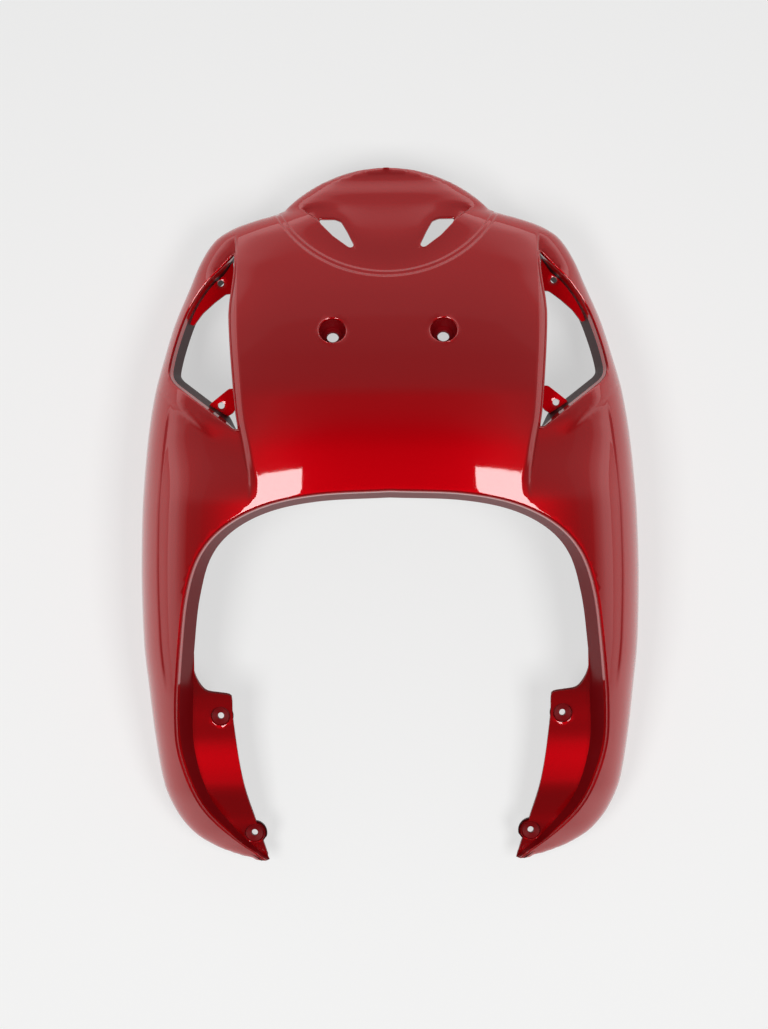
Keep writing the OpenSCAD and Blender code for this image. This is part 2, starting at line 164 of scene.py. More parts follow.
def step_form(u, rounded_share=0.3):
    """A straight slope from 0 to 1 whose two ends are rounded over a share of its run."""
    v, f = np.clip(u, 0, 1), rounded_share
    k = 1 / (1 - f)
    return np.where(v < f, k * v * v / (2 * f),
                    np.where(v > 1 - f, 1 - k * (1 - v) ** 2 / (2 * f), k * (v - f / 2)))


def side_x(y):
    """Half the width of the outline."""
    y = np.asarray(y, float)
    dome = np.sqrt(np.maximum(1, DOME_R ** 2 - (y - DOME_Y) ** 2))
    return np.where(y < NOTCH_Y, HALF_WIDTH - smooth(SIDE_INSET, y), dome)


def ridge_z(y):
    """Height of the crown along the centre line."""
    return HEIGHT - smooth(RIDGE_DROP, y)


def seam_z(y):
    """Height at which the roll ends and the skirt starts."""
    return smooth(SEAM, y)


def edge_x(y):
    """Where the shield ends and the step starts."""
    return np.minimum(smooth(SHIELD_EDGE, y), EDGE_LIMIT * side_x(y))


def foot_x(y):
    """Where the step ends."""
    return np.minimum(edge_x(y) + STEP_RUN * smooth(RUN_SHARE, y), FOOT_LIMIT * side_x(y))


def roll_x(y):
    """Where the roll round the side starts."""
    return np.maximum(side_x(y) - ROLL_W, ROLL_LIMIT * foot_x(y) + (1 - ROLL_LIMIT) * side_x(y))


def crown_z(x, y):
    """The plain crown: each section is a rounded arch from the ridge down to the seam."""
    w = np.minimum(1, np.abs(x) / side_x(y))
    return seam_z(y) + (ridge_z(y) - seam_z(y)) * np.cbrt(1 - w ** 3)


def step_z(x, y):
    """How far the face beside the shield lies below the crown."""
    e, f, s, a = edge_x(y), foot_x(y), side_x(y), np.abs(x)
    out = np.clip((a - f) / (s - f), 0, 1)
    fall = smooth(STEP_FORM, np.clip((a - e) / (f - e), 0, 1))
    return STEP_DROP * smooth(STEP_SHARE, y) * fall * (1 - out * out)


def face_z(x, y):
    """The shallow dip beside the crest of the roll."""
    r, a = roll_x(y), np.abs(x)
    return (FACE_DROP * smooth(FACE_SHARE, y) * step_form((r - a) / CREST_W)
            * (1 - ramp((r - a - CREST_FLAT) / DIP_W)))


def groove_z(x, y):
    """Two small steps down towards the beak's tip, which fade out within the beak."""
    r, a = np.hypot(x, GROOVE_Y - y), np.degrees(np.arctan2(np.abs(x), GROOVE_Y - y))
    drop = sum(fall * step_form((GROOVE_R + at - r) / run) for at, run, fall in GROOVE_STEPS)
    return (drop * (1 - ramp((GROOVE_R - GROOVE_HOLD - r) / GROOVE_FADE))
            * (1 - ramp((a - GROOVE_END + GROOVE_TAPER) / GROOVE_TAPER)))


def to_line(p, line):
    """Distance of each point from a line of points, positive on its left, and how far along it is."""
    p, line = np.asarray(p, float), np.asarray(line, float)
    best, sign = np.full(len(p), 1e9), np.ones(len(p))
    share = np.zeros(len(p))
    for i, (a, b) in enumerate(zip(line[:-1], line[1:])):
        d = b - a
        u = np.clip(((p - a) @ d) / (d @ d), 0, 1)
        off = p - a - u[:, None] * d
        dist = np.hypot(off[:, 0], off[:, 1])
        near = dist < best
        best = np.where(near, dist, best)
        sign = np.where(near, np.sign(d[0] * off[:, 1] - d[1] * off[:, 0]), sign)
        share = np.where(near, i + u, share)
    return best * np.where(sign == 0, 1, sign), share


def inside(p, loop):
    """Whether each point lies within a closed loop."""
    p, loop = np.asarray(p, float), np.asarray(loop, float)
    hit = np.zeros(len(p), bool)
    for a, b in zip(loop, np.roll(loop, -1, axis=0)):
        if a[1] == b[1]:
            continue
        cross = (a[1] > p[:, 1]) != (b[1] > p[:, 1])
        x = (b[0] - a[0]) * (p[:, 1] - a[1]) / (b[1] - a[1]) + a[0]
        hit ^= cross & (p[:, 0] < x)
    return hit


def lip_z(x, y):
    """The raised lip under the lamp opening."""
    d, share = to_line(np.column_stack([np.abs(x), y]), LIP_LINE)
    u = np.clip(d / LIP_W, 0, 1)
    ends = ramp(share / LIP_TAPER) * ramp((len(LIP_LINE) - 1 - share) / LIP_TAPER)
    profile = np.clip(1 - (2 * u - 1) ** 2, 0, 1) ** LIP_FULLNESS
    return LIP_RISE * profile * ends * (d > 0) * (d < LIP_W)


def scoop_z(x, y):
    """The dish above each vent slot: deepest along the slot, and run out softly under the brow."""
    p = np.column_stack([np.abs(x), y])
    low, high = to_line(p, CREASE)[0], -to_line(p, BROW)[0]
    across = np.maximum(low + high, 1e-6)
    fall = 1 - ramp(np.clip(low, 0, None) / across)
    return (SCOOP_DEPTH * fall * step_form((low + 0.3) / SCOOP_RUN) * ramp(across / SCOOP_FULL_W)
            * inside(p, np.vstack([CREASE, BROW[::-1]])))


def front_z(x, y):
    """The outer face without its fine relief, which is what walls and tabs are measured from."""
    return crown_z(x, y) - step_z(x, y) - face_z(x, y)


def fine_z(x, y):
    """The fine relief: how far groove and dish go down, less how far the lip stands up."""
    return groove_z(x, y) + scoop_z(x, y) - lip_z(x, y)


# Lines of points
def on_curve(points, step):
    """Even points along a smooth curve through the given ones."""
    p = np.array(points, float)
    q = np.vstack([2 * p[0] - p[1], p, 2 * p[-1] - p[-2]])
    out = []
    for i in range(1, len(q) - 2):
        a, b, c, d = q[i - 1], q[i], q[i + 1], q[i + 2]
        for u in np.linspace(0, 1, 24, endpoint=False):
            out.append(0.5 * (2 * b + u * (c - a) + u * u * (2 * a - 5 * b + 4 * c - d)
                              + u ** 3 * (3 * b - a - 3 * c + d)))
    return even(np.array(out + [p[-1]]), step)


def even(p, step, closed=False):
    """The same line with its points spread evenly, about a step apart."""
    if closed:
        p = np.vstack([p, p[:1]])
    s = np.concatenate([[0], np.cumsum(np.hypot(*np.diff(p, axis=0).T))])
    n = max(2, int(round(s[-1] / step)))
    t = np.linspace(0, s[-1], n + 1)
    q = np.column_stack([np.interp(t, s, p[:, 0]), np.interp(t, s, p[:, 1])])
    return q[:-1] if closed else q


def rounded(loop, step, radius):
    """A closed loop with its corners rounded off, wound anticlockwise."""
    p = even(np.array(loop, float), step / 4, True)
    k = max(1, int(radius / (step / 4)))
    weights = np.hanning(2 * k + 3)[1:-1]
    weights /= weights.sum()
    q = sum(w * np.roll(p, j - k, axis=0) for j, w in enumerate(weights))
    q = even(q, step, True)
    area = np.sum(q[:, 0] * np.roll(q[:, 1], -1) - q[:, 1] * np.roll(q[:, 0], -1))
    return q if area > 0 else q[::-1]


def outward(p, closed):
    """Unit normals on the right of a line: outwards for an anticlockwise loop."""
    if closed:
        d = np.roll(p, -1, axis=0) - np.roll(p, 1, axis=0)
    else:
        d = np.vstack([p[1] - p[0], p[2:] - p[:-2], p[-1] - p[-2]])
    d /= np.maximum(np.hypot(d[:, 0], d[:, 1]), 1e-9)[:, None]
    return np.column_stack([d[:, 1], -d[:, 0]])


def circle(centre, radius, z=0.0):
    """A ring of points round an upright axis; z is one height or one for each point."""
    turn = np.linspace(0, 2 * math.pi, 40, endpoint=False)
    return np.column_stack([centre[0] + radius * np.cos(turn), centre[1] + radius * np.sin(turn),
                            np.broadcast_to(z, turn.shape)])


def square_grid(low, high):
    """Points of a plain grid over a box."""
    across, up = np.meshgrid(np.arange(low[0], high[0], SMALL_GRID), np.arange(low[1], high[1], SMALL_GRID))
    return np.column_stack([across.ravel(), up.ravel()])


LIP_LINE = on_curve(LIP_PATH, 3.0)
CREASE = on_curve(CREASE_PATH, 1.5)
BROW = on_curve(BROW_PATH, 2.0)


# The unrolled side
class Unroll:
    """Sections are laid out flat: x as far as the roll, then the length round it down to the seam."""

    def __init__(self):
        self.rows = {}

    def row(self, y):
        """Where the roll starts, and the length, x and z of points from there down to the seam."""
        key = round(float(y), 3)
        if key not in self.rows:
            s, r, top, seam = (float(f(key)) for f in (side_x, roll_x, ridge_z, seam_z))
            t0 = math.asin((r / s) ** 1.5)
            t = t0 + (math.pi / 2 - t0) * (1 - (1 - np.linspace(0, 1, 60)) ** 2)
            x = s * np.sin(t) ** (2 / 3)
            z = seam + (top - seam) * np.maximum(np.cos(t), 0) ** (2 / 3)
            x[-1], z[-1] = s, seam
            x[0] = r
            arc = r + np.concatenate([[0], np.cumsum(np.hypot(np.diff(x), np.diff(z)))])
            self.rows[key] = (r, arc, x, z)
        return self.rows[key]

    def end(self, y):
        return self.row(y)[1][-1]

    def place(self, a, y):
        """x and the crown's z of a point of the unrolled sheet."""
        r, arc, x, z = self.row(y)
        if a <= r:
            return a, float(crown_z(a, y))
        return float(np.interp(a, arc, x)), float(np.interp(a, arc, z))

    def flat(self, points):
        """Points of the front view on the unrolled sheet."""
        laid = []
        for x, y in points:
            r, arc, xs, _ = self.row(y)
            laid.append((float(x) if x <= r else float(np.interp(float(x), xs, arc)), y))
        return np.array(laid)


SHEET = Unroll()


# The mesh while it is built: one half of the outer skin, with the number of each face's material, the paint
# or a darker copy of it that is painted shade
PAINTED, SHADE_RED, BACK_AND_SHADE = 0, 1, 2


class Build:
    def __init__(self):
        self.points, self.faces, self.paint_or_shade = [], [], {}

    def add(self, points):
        start = len(self.points)
        self.points.extend([tuple(map(float, p)) for p in points])
        return list(range(start, start + len(points)))

    def heights(self, row):
        return np.array([self.points[i][2] for i in row])

    def ribbon(self, a, b, closed):
        n = len(a)
        for i in range(n if closed else n - 1):
            j = (i + 1) % n
            self.faces.append((a[i], a[j], b[j], b[i]))

    def rings(self, first, rings, closed):
        """Rows of points that go on from a row that exists; the last row's numbers come back."""
        last = first
        for ring in rings:
            new = self.add(ring)
            self.ribbon(last, new, closed)
            last = new
        return last

    def coat(self, first, paints_or_shade):
        """Gives the faces from a number on their material, the paint or a painted shade; a row of them
        repeats round each ring.
        """
        for k in range(first, len(self.faces)):
            self.paint_or_shade[k] = int(paints_or_shade[(k - first) % len(paints_or_shade)])


def within(p, outer, holes):
    """Whether each point lies in a region and in none of its holes."""
    hit = inside(p, outer)
    for hole in holes:
        hit &= ~inside(p, hole)
    return hit


def cell_of(q, size):
    return int(q[0] // size), int(q[1] // size)


def is_clear(q, cells, size):
    """Whether no point that is sorted into the cells lies nearer to q than one cell's size."""
    ci, cj = cell_of(q, size)
    around = ((i, j) for i in (ci - 1, ci, ci + 1) for j in (cj - 1, cj, cj + 1))
    return all((o[0] - q[0]) ** 2 + (o[1] - q[1]) ** 2 >= size ** 2
               for cell in around for o in cells.get(cell, ()))


def fill(outer, holes, lines, grid, keep_off):
    """Triangles over a flat region: its edges, holes and inner lines become edges of the mesh."""
    points, edges = [], []
    for loop in [outer] + holes:
        s = len(points)
        points.extend(loop)
        edges.extend((s + i, s + (i + 1) % len(loop)) for i in range(len(loop)))
    border = np.array(points)
    for line in lines:
        joined = False
        for q, free in zip(line, within(line, outer, holes)):
            if free:
                free = np.min(np.hypot(border[:, 0] - q[0], border[:, 1] - q[1])) >= LINE_KEEP_OFF
            if free:
                points.append(q)
                if joined:
                    edges.append((len(points) - 2, len(points) - 1))
            joined = free
    cells = {}
    for q in points:
        cells.setdefault(cell_of(q, keep_off), []).append(q)
    grid = np.asarray(grid, float)
    grid = [q for q in grid[within(grid, outer, holes)] if is_clear(q, cells, keep_off)]
    every = [Vector((float(q[0]), float(q[1]))) for q in points + grid]
    verts, _, faces, source, _, _ = delaunay_2d_cdt(every, edges, [], 0, 1e-4)
    out = np.array([tuple(v) for v in verts])
    where = {k: i for i, same in enumerate(source) for k in same}
    tri = np.array([tuple(f) for f in faces])
    tri = tri[within(out[tri].mean(axis=1), outer, holes)]
    a, b, c = out[tri[:, 0]], out[tri[:, 1]], out[tri[:, 2]]
    area = (b[:, 0] - a[:, 0]) * (c[:, 1] - a[:, 1]) - (b[:, 1] - a[:, 1]) * (c[:, 0] - a[:, 0])
    tri = np.where((area < 0)[:, None], tri[:, ::-1], tri)
    return out, tri, where


# Edges of the shell
build = Build()

fold_line = on_curve(FOLD, 3.0)
fold_line[-1] = FOLD[-1]
fold_out = outward(fold_line, False)
fold_out[-1] = (0, 1)
# the fillet runs out sideways at the tip, so that the leg ends square
turn = ramp(fold_line[:, 1] / FOLD_TURN_OVER)[:, None]
fold_out = fold_out * turn + np.array((1.0, 0.0)) * (1 - turn)
fold_out /= np.hypot(fold_out[:, 0], fold_out[:, 1])[:, None]
fold_r = FOLD_TIP_R + FOLD_GAIN_R * ramp(fold_line[:, 1] / FOLD_GAIN_OVER)
arch_edge = fold_line + fold_out * fold_r[:, None]
arch_edge[-1, 0] = 0.0
tip_y = float(arch_edge[0, 1])

# the lamp opening runs up along the foot of the shield's step and back down its bowed outer side
lamp_corners = [(float(foot_x(y)), y) for y in np.linspace(LAMP_LOW, LAMP_HIGH, 15)]
lamp_corners += [tuple(q) for q in on_curve(LAMP_BOW, 3.0)]
lamp_corners.append((float(foot_x(LAMP_LOW)) + 3, LAMP_LOW))
lamp_loop = rounded(lamp_corners, LAMP_SPACING, LAMP_CORNER)
lamp_out = outward(lamp_loop, True)
lamp_edge = lamp_loop + lamp_out * LAMP_R
vent_loop = rounded(VENT, VENT_SPACING, VENT_CORNER)
vent_out = outward(vent_loop, True)
vent_edge = vent_loop + vent_out * VENT_R


def cup_ring(radius, depth):
    """A ring of the shield's screw recess, which leans back to stand square to the face."""
    c, s = math.cos(CUP_LEAN), math.sin(CUP_LEAN)
    phis = np.linspace(0, 2 * math.pi, 64, endpoint=False)
    u, v = radius * np.cos(phis), radius * np.sin(phis)
    return np.column_stack([SCREW[0] + u, SCREW[1] + v * c - depth * s,
                            float(front_z(*SCREW)) - v * s - depth * c])


cup_edge = cup_ring(CUP_MOUTH / 2 + CUP_R, 0)[:, :2]

# the outer line runs along the top, down the side, across the tip, up the arch and up the centre
top_edge = np.array([(a, LENGTH) for a in np.linspace(0, SHEET.end(LENGTH), TOP_STATIONS)])[:-1]
dome_from, dome_to = (math.acos((y - DOME_Y) / DOME_R) for y in (LENGTH, NOTCH_Y + 0.3))
dome_ys = DOME_Y + DOME_R * np.cos(np.linspace(dome_from, dome_to, DOME_STATIONS))
side_ys = np.concatenate([[LENGTH], dome_ys[1:], np.linspace(522.4, 484, NOTCH_STATIONS),
                          np.linspace(481.5, tip_y, LEG_STATIONS)])
side_edge = np.array([(SHEET.end(y), y) for y in side_ys])
tip_flat_x = np.linspace(SHEET.end(tip_y), arch_edge[0, 0], TIP_STATIONS)
tip_edge = np.array([(a, tip_y) for a in tip_flat_x])[1:-1]
groove_ys = np.array([GROOVE_Y - (GROOVE_R + at - u * run) for at, run, _ in GROOVE_STEPS
                      for u in GROOVE_LINES])
centre_ys = np.arange(FOLD[-1][1] + fold_r[-1] + ROW_STEP, LENGTH - 1, ROW_STEP)
centre_ys = centre_ys[np.abs(centre_ys[:, None] - groove_ys).min(axis=1) > 0.6]
centre = np.array([(0.0, y) for y in np.unique(np.concatenate([centre_ys, groove_ys]))])
outer = np.vstack([top_edge, side_edge, tip_edge, SHEET.flat(arch_edge), centre])
holes = [SHEET.flat(lamp_edge), SHEET.flat(vent_edge), SHEET.flat(cup_edge)]

# Lines that the triangles follow: step, crest, groove, lip, crease and two rings round the vent
lines = []
for u in STEP_LINES:
    lines.append(np.array([(float(edge_x(y) + u * (foot_x(y) - edge_x(y))), y)
                           for y in np.arange(*STEP_ROWS, ROW_STEP)]))
for u in CREST_LINES:
    lines.append(np.array([(float(roll_x(y)) - u * CREST_W, y) for y in np.arange(*CREST_ROWS, ROW_STEP)]))
for at, run, _ in GROOVE_STEPS:
    for u in GROOVE_LINES:
        r = GROOVE_R + at - u * run
        t = np.radians(np.arange(0, GROOVE_END, 1.3))
        q = np.column_stack([r * np.sin(t), GROOVE_Y - r * np.cos(t)])[1:]
        lines.append(SHEET.flat(q[(q[:, 0] < side_x(q[:, 1]) - 0.3) & (q[:, 1] < LENGTH)]))
for u in (0.02, 0.1, 0.25, 0.5, 0.75, 0.9, 0.98):
    lines.append(SHEET.flat(LIP_LINE - outward(LIP_LINE, False) * LIP_W * u))
for away in (-0.5, -0.3, 0, 0.4, 0.8, 1.2, 1.7):
    lines.append(SHEET.flat(CREASE - outward(CREASE, False) * away))
for away in (1.5, 3.2):
    lines.append(SHEET.flat(even(vent_edge + vent_out * away, 1.6, True)))

# The outer skin: every second row of the grid is shifted by half a step
grid = []
for j, y in enumerate(np.arange(tip_y + 1.2, LENGTH - 0.8, GRID * ROW_SHARE)):
    end = SHEET.end(float(y))
    n = int(end / GRID) + 1
    grid.extend((a, y) for a in (np.arange(n) + (0.5 if j % 2 else 1.0)) * end / (n + 0.5))

flat_points, triangles, where = fill(outer, holes, lines, grid, KEEP_OFF)
xyz = np.empty((len(flat_points), 3))
for i, (a, y) in enumerate(flat_points):
    x, z = SHEET.place(max(0.0, float(a)), float(y))
    xyz[i] = (x, y, z)
xyz[:, 2] -= (step_z(xyz[:, 0], xyz[:, 1]) + face_z(xyz[:, 0], xyz[:, 1])
              + fine_z(xyz[:, 0], xyz[:, 1]))
skin = build.add(xyz)
build.faces.extend(tuple(skin[k] for k in t) for t in triangles)


def row_of(first, count):
    return [skin[where[first + k]] for k in range(count)]


seam_row = row_of(0, len(top_edge) + len(side_edge))
arch_row = row_of(len(top_edge) + len(side_edge) + len(tip_edge), len(arch_edge))
lamp_row = row_of(len(outer), len(lamp_edge))
vent_row = row_of(len(outer) + len(lamp_edge), len(vent_edge))
cup_row = row_of(len(outer) + len(lamp_edge) + len(vent_edge), len(cup_edge))

# the skirt hangs from the seam down to its rim, round the dome and down each leg
seam_points = np.array([build.points[i] for i in seam_row])
rim_z = smooth(RIM, seam_points[:, 1])
build.rings(seam_row, [np.column_stack([seam_points[:, :2], seam_points[:, 2] * (1 - u) + rim_z * u])
                       for u in (0.08, 0.36, 0.68, 1)], False)


# Wheel arch wall
def fold_depth(y):
    """How far the foot of the wall lies below the face, down the leg and across the arch."""
    blend = 1 - ramp((y - FLANGE_TOP) / FLANGE_BLEND)
    return np.where(y < FLANGE_TOP, FLANGE_DEPTH * smooth(FLANGE_SHARE, y / FLANGE_TOP),
                    ARCH_DEPTH + (FLANGE_DEPTH - ARCH_DEPTH) * blend)


fold_z = build.heights(arch_row)
rings = []
for k in range(1, FOLD_ARCS + 1):
    t = math.pi / 2 * k / FOLD_ARCS
    q = arch_edge - fold_out * (fold_r * math.sin(t))[:, None]
    rings.append(np.column_stack([q, fold_z - fold_r * (1 - math.cos(t))]))
depth = fold_depth(fold_line[:, 1])
foot_z = front_z(fold_line[:, 0], fold_line[:, 1]) - depth
steeper = 1 - STEEPER * ramp((fold_line[:, 1] - STEEPER_FROM) / STEEPER_OVER)
draft = ARCH_DRAFT * depth / ARCH_DEPTH * steeper
for k in range(1, ARCH_ROWS + 1):
    u = k / ARCH_ROWS
    q = fold_line - fold_out * (draft * u)[:, None]
    rings.append(np.column_stack([q, (fold_z - fold_r) * (1 - u) + foot_z * u]))
for ring in rings:
    ring[-1, 0] = 0.0
# the glossy paint wraps over the fillet and one row down the wall; below it the wall is painted shade, a
# darker red
first = len(build.faces) + (FOLD_ARCS + 1) * (len(arch_row) - 1)
foot_row = build.rings(arch_row, rings, False)
build.coat(first, (SHADE_RED,))
foot = np.array([build.points[i] for i in foot_row])


# Leg flanges
def foot_at(y):
    """Height of the flange, which is that of the wall's foot beside it."""
    leg = foot[foot[:, 0] > 90]
    leg = leg[np.argsort(leg[:, 1])]
    return np.interp(y, leg[:, 1], leg[:, 2])


n_flange = int(np.argmax(foot[:, 1] > FLANGE_END))
flange_tip = foot[0, 1]
flange_in = on_curve(FLANGE_EDGE, 2.2)
flange_in = flange_in[flange_in[:, 1] > flange_tip - 0.01]
flange_corner = (float(np.interp(flange_tip, flange_in[:, 1], flange_in[:, 0])), flange_tip)
flange_in = np.vstack([[flange_corner], flange_in[flange_in[:, 1] > flange_tip + 1]])
foot_beside = np.interp(flange_in[:, 1], foot[:n_flange, 1], foot[:n_flange, 0])
flange_in = flange_in[flange_in[:, 0] < foot_beside - 0.6]
flange_loop = np.vstack([foot[:n_flange, :2][::-1], flange_in])
recesses = [circle(hole, LEG_RECESS / 2 + LEG_EDGE)[:, :2] for hole in LEG_HOLES]
flange_points, flange_triangles, where = fill(flange_loop, recesses, [],
                                              square_grid((98, 1), (170, FLANGE_END)), SMALL_KEEP_OFF)
shared = {where[k]: i for k, i in enumerate(foot_row[:n_flange][::-1])}
flange = []
for i, q in enumerate(flange_points):
    if i in shared:
        flange.append(shared[i])
    else:
        flange.extend(build.add([(q[0], q[1], float(foot_at(q[1])))]))
build.faces.extend(tuple(flange[k] for k in t) for t in flange_triangles)
offset = len(flange_loop)
for hole, loop in zip(LEG_HOLES, recesses):
    row = [flange[where[offset + k]] for k in range(len(loop))]
    offset += len(loop)
    top = build.heights(row)
    base = float(foot_at(hole[1])) - LEG_SUNK
    wall_r, bore_r = LEG_RECESS / 2, LEG_BORE / 2
    profile = ((wall_r + 0.25, top - 0.2), (wall_r, top - 0.8), (wall_r - 0.1, base + 0.8),
               (wall_r - 0.35, base + 0.2), (wall_r - 0.9, base), (bore_r + 0.5, base),
               (bore_r + 0.1, base - 0.15), (bore_r, base - 0.6), (bore_r, base - 5))
    # below its top ring the recess is painted shade, a darker red
    first = len(build.faces) + len(row)
    build.rings(row, [circle(hole, radius, z) for radius, z in profile], True)
    build.coat(first, (SHADE_RED,))


# Lamp opening, vent slot and screw recess
def opening(row, edge, out, radius, depth, draft, rows, arcs):
    """Rolls the skin over an edge and draws a wall down from it, leaning in by the draft."""
    top = build.heights(row)
    rings = []
    for k in range(1, arcs + 1):
        t = math.pi / 2 * k / arcs
        q = edge + out * (radius * (1 - math.sin(t)))
        rings.append(np.column_stack([q, top - radius * (1 - math.cos(t))]))
    for k in range(1, rows + 1):
        u = k / rows
        q = edge - out * (draft * u)[:, None]
        rings.append(np.column_stack([q, top - radius - (depth - radius) * u]))
    return build.rings(row, rings, True)


# below two glossy rows the lamp wall is painted shade: a darker red beside the shield, and a near-black red
# elsewhere
lamp_foot_x = foot_x(lamp_loop[:, 1])
lamp_lean = LAMP_DRAFT * ramp((lamp_loop[:, 0] - lamp_foot_x - 1) / 12)
first = len(build.faces) + (LAMP_ARCS + 2) * len(lamp_row)
opening(lamp_row, lamp_loop, lamp_out, LAMP_R, LAMP_DEPTH, lamp_lean, LAMP_ROWS, LAMP_ARCS)
build.coat(first, np.where(lamp_loop[:, 0] < lamp_foot_x + 2, SHADE_RED, BACK_AND_SHADE))
opening(vent_row, vent_loop, vent_out, VENT_R, VENT_DEPTH, np.full(len(vent_loop), VENT_DRAFT),
        VENT_ROWS, VENT_ARCS)

rings = []
for k in range(1, CUP_ARCS + 1):
    t = math.pi / 2 * k / CUP_ARCS
    rings.append(cup_ring(CUP_MOUTH / 2 + CUP_R * (1 - math.sin(t)), CUP_R * (1 - math.cos(t))))
wall_r, bore_r = CUP_FLOOR / 2, SCREW_BORE / 2
for k in range(1, CUP_ROWS + 1):
    u = k / CUP_ROWS
    rings.append(cup_ring(CUP_MOUTH / 2 * (1 - u) + wall_r * u, CUP_R + (CUP_DEPTH - 0.8 - CUP_R) * u))
for radius, depth in ((wall_r - 0.25, CUP_DEPTH - 0.25), (wall_r - 0.8, CUP_DEPTH),
                      (bore_r + 0.7, CUP_DEPTH), (bore_r + 0.15, CUP_DEPTH + 0.15),
                      (bore_r, CUP_DEPTH + 0.7), (bore_r, CUP_DEPTH + 2.9)):
    rings.append(cup_ring(radius, depth))
# below its rounded mouth the screw recess is painted shade, a darker red
first = len(build.faces) + CUP_ARCS * len(cup_row)
build.rings(cup_row, rings, True)
build.coat(first, (SHADE_RED,))


# Lamp screw tabs
for outline, hole in zip((UPPER_TAB, LOWER_TAB), TAB_HOLES):
    z = float(front_z(*hole)) - LAMP_DEPTH * TAB_SINK
    loop = rounded(outline, TAB_SPACING, TAB_CORNER)
    hole_edge = circle(hole, TAB_HOLE_R + 0.4)[:, :2]
    tab_points, tab_triangles, where = fill(loop, [hole_edge], [],
                                            square_grid(loop.min(axis=0), loop.max(axis=0)), SMALL_KEEP_OFF)
    tab = build.add([(q[0], q[1], z) for q in tab_points])
    build.faces.extend(tuple(tab[k] for k in t) for t in tab_triangles)
    row = [tab[where[len(loop) + k]] for k in range(len(hole_edge))]
    profile = ((TAB_HOLE_R + 0.1, 0.1), (TAB_HOLE_R, 0.4), (TAB_HOLE_R, WALL - 0.1))
    build.rings(row, [circle(hole, radius, z - depth) for radius, depth in profile], True)


# Materials
def linear(hex_colour):
    """An sRGB hex colour as linear red, green and blue with full alpha."""
    out = []
    for k in (1, 3, 5):
        c = int(hex_colour[k:k + 2], 16) / 255
        out.append(c / 12.92 if c <= 0.04045 else ((c + 0.055) / 1.055) ** 2.4)
    return (*out, 1.0)


def node(tree, kind, settings=None, inputs=None, links=None):
    """Adds a node with its settings, its typed inputs and its links from other nodes' outputs."""
    n = tree.nodes.new(kind)
    for key, value in (settings or {}).items():
        setattr(n, key, value)
    for key, value in (inputs or {}).items():
        n.inputs[key].default_value = value
    for key, (other, socket) in (links or {}).items():
        tree.links.new(other.outputs[socket], n.inputs[key])
    return n


def new_material(name):
    material = bpy.data.materials.new(name)
    material.use_nodes = True
    material.node_tree.nodes.clear()
    return material, material.node_tree


# Sizes of the patterns in millimetres. Real flakes are about 0.03 mm across, too fine to show, so
# they are drawn at 0.35 mm. The waves of orange peel and the patches of overspray have real sizes.
FLAKE, PEEL_WAVE, PATCH = 0.35, 6, 30

# Moulded ABS, metallic base coat, tinted candy red coat, clear coat: the flake in the base gives a
# deep red that lights up round each highlight, and the clear coat gives sharp pale reflections.
paint, tree = new_material("moulded_ABS_candy_red_coat_clear_coat")
coords = node(tree, "ShaderNodeTexCoord")
flake = node(tree, "ShaderNodeTexVoronoi", {"feature": "F1"}, {"Scale": 1000 / FLAKE},
             {"Vector": (coords, "Object")})
tone = node(tree, "ShaderNodeMapRange", {},
            {"From Min": 0.0, "From Max": 1.0, "To Min": 0.44, "To Max": 0.52}, {"Value": (flake, "Color")})
orange_peel = node(tree, "ShaderNodeTexNoise", {}, {"Scale": 1000 / PEEL_WAVE, "Detail": 1.0},
                   {"Vector": (coords, "Object")})
peel = node(tree, "ShaderNodeBump", {}, {"Strength": 0.012, "Distance": 0.0004},
            {"Height": (orange_peel, "Fac")})
coat = node(tree, "ShaderNodeBsdfPrincipled", {},
            {"Base Color": linear("#b0000a"), "Metallic": 0.75, "Specular Tint": linear("#ff3030"),
             "Coat Weight": 1.0, "Coat Roughness": 0.03, "Coat IOR": 1.65},
            {"Roughness": (tone, "Result"), "Coat Normal": (peel, "Normal")})
node(tree, "ShaderNodeOutputMaterial", links={"Surface": (coat, "BSDF")})

# The arch wall, the recesses and the sheet's cut edges get painted shade: a darker copy of the red
# paint with only a weak, blurred reflection of the floor, which stands in for the shade on them.
painted_shade_red, tree = new_material("candy_red_painted_shade")
painted_shade_bsdf = node(tree, "ShaderNodeBsdfPrincipled", {},
                {"Base Color": linear("#7c080f"), "Roughness": 0.35, "IOR": 1.3, "Specular IOR Level": 0.15})
node(tree, "ShaderNodeOutputMaterial", links={"Surface": (painted_shade_bsdf, "BSDF")})

# The inside of the shell is black ABS with a thin layer of red and no clear coat, so it stays dark and
# shows no sharp reflections; on the lamp walls away from the shield the same near-black red is painted
# shade.
back_and_painted_shade, tree = new_material("black_ABS_back_and_painted_shade")
coords = node(tree, "ShaderNodeTexCoord")
patchy = node(tree, "ShaderNodeTexNoise", {}, {"Scale": 1000 / PATCH, "Detail": 3.0},
              {"Vector": (coords, "Object")})
back_and_shade_colour = node(tree, "ShaderNodeMix", {"data_type": "RGBA"},
            {6: linear("#2a0305"), 7: linear("#4a0508")}, {0: (patchy, "Fac")})
inner = node(tree, "ShaderNodeBsdfPrincipled", {}, {"Roughness": 0.5, "IOR": 1.45},
             {"Base Color": (back_and_shade_colour, 2)})
node(tree, "ShaderNodeOutputMaterial", links={"Surface": (inner, "BSDF")})

# Both halves, the thickness and the shading, in metres and degrees
SHELL_NAME = "nose_panel_shell"
WELD, DEGENERATE, BOX_MARGIN, SHARP_ANGLE = 2e-5, 1e-6, 1e-5, 40


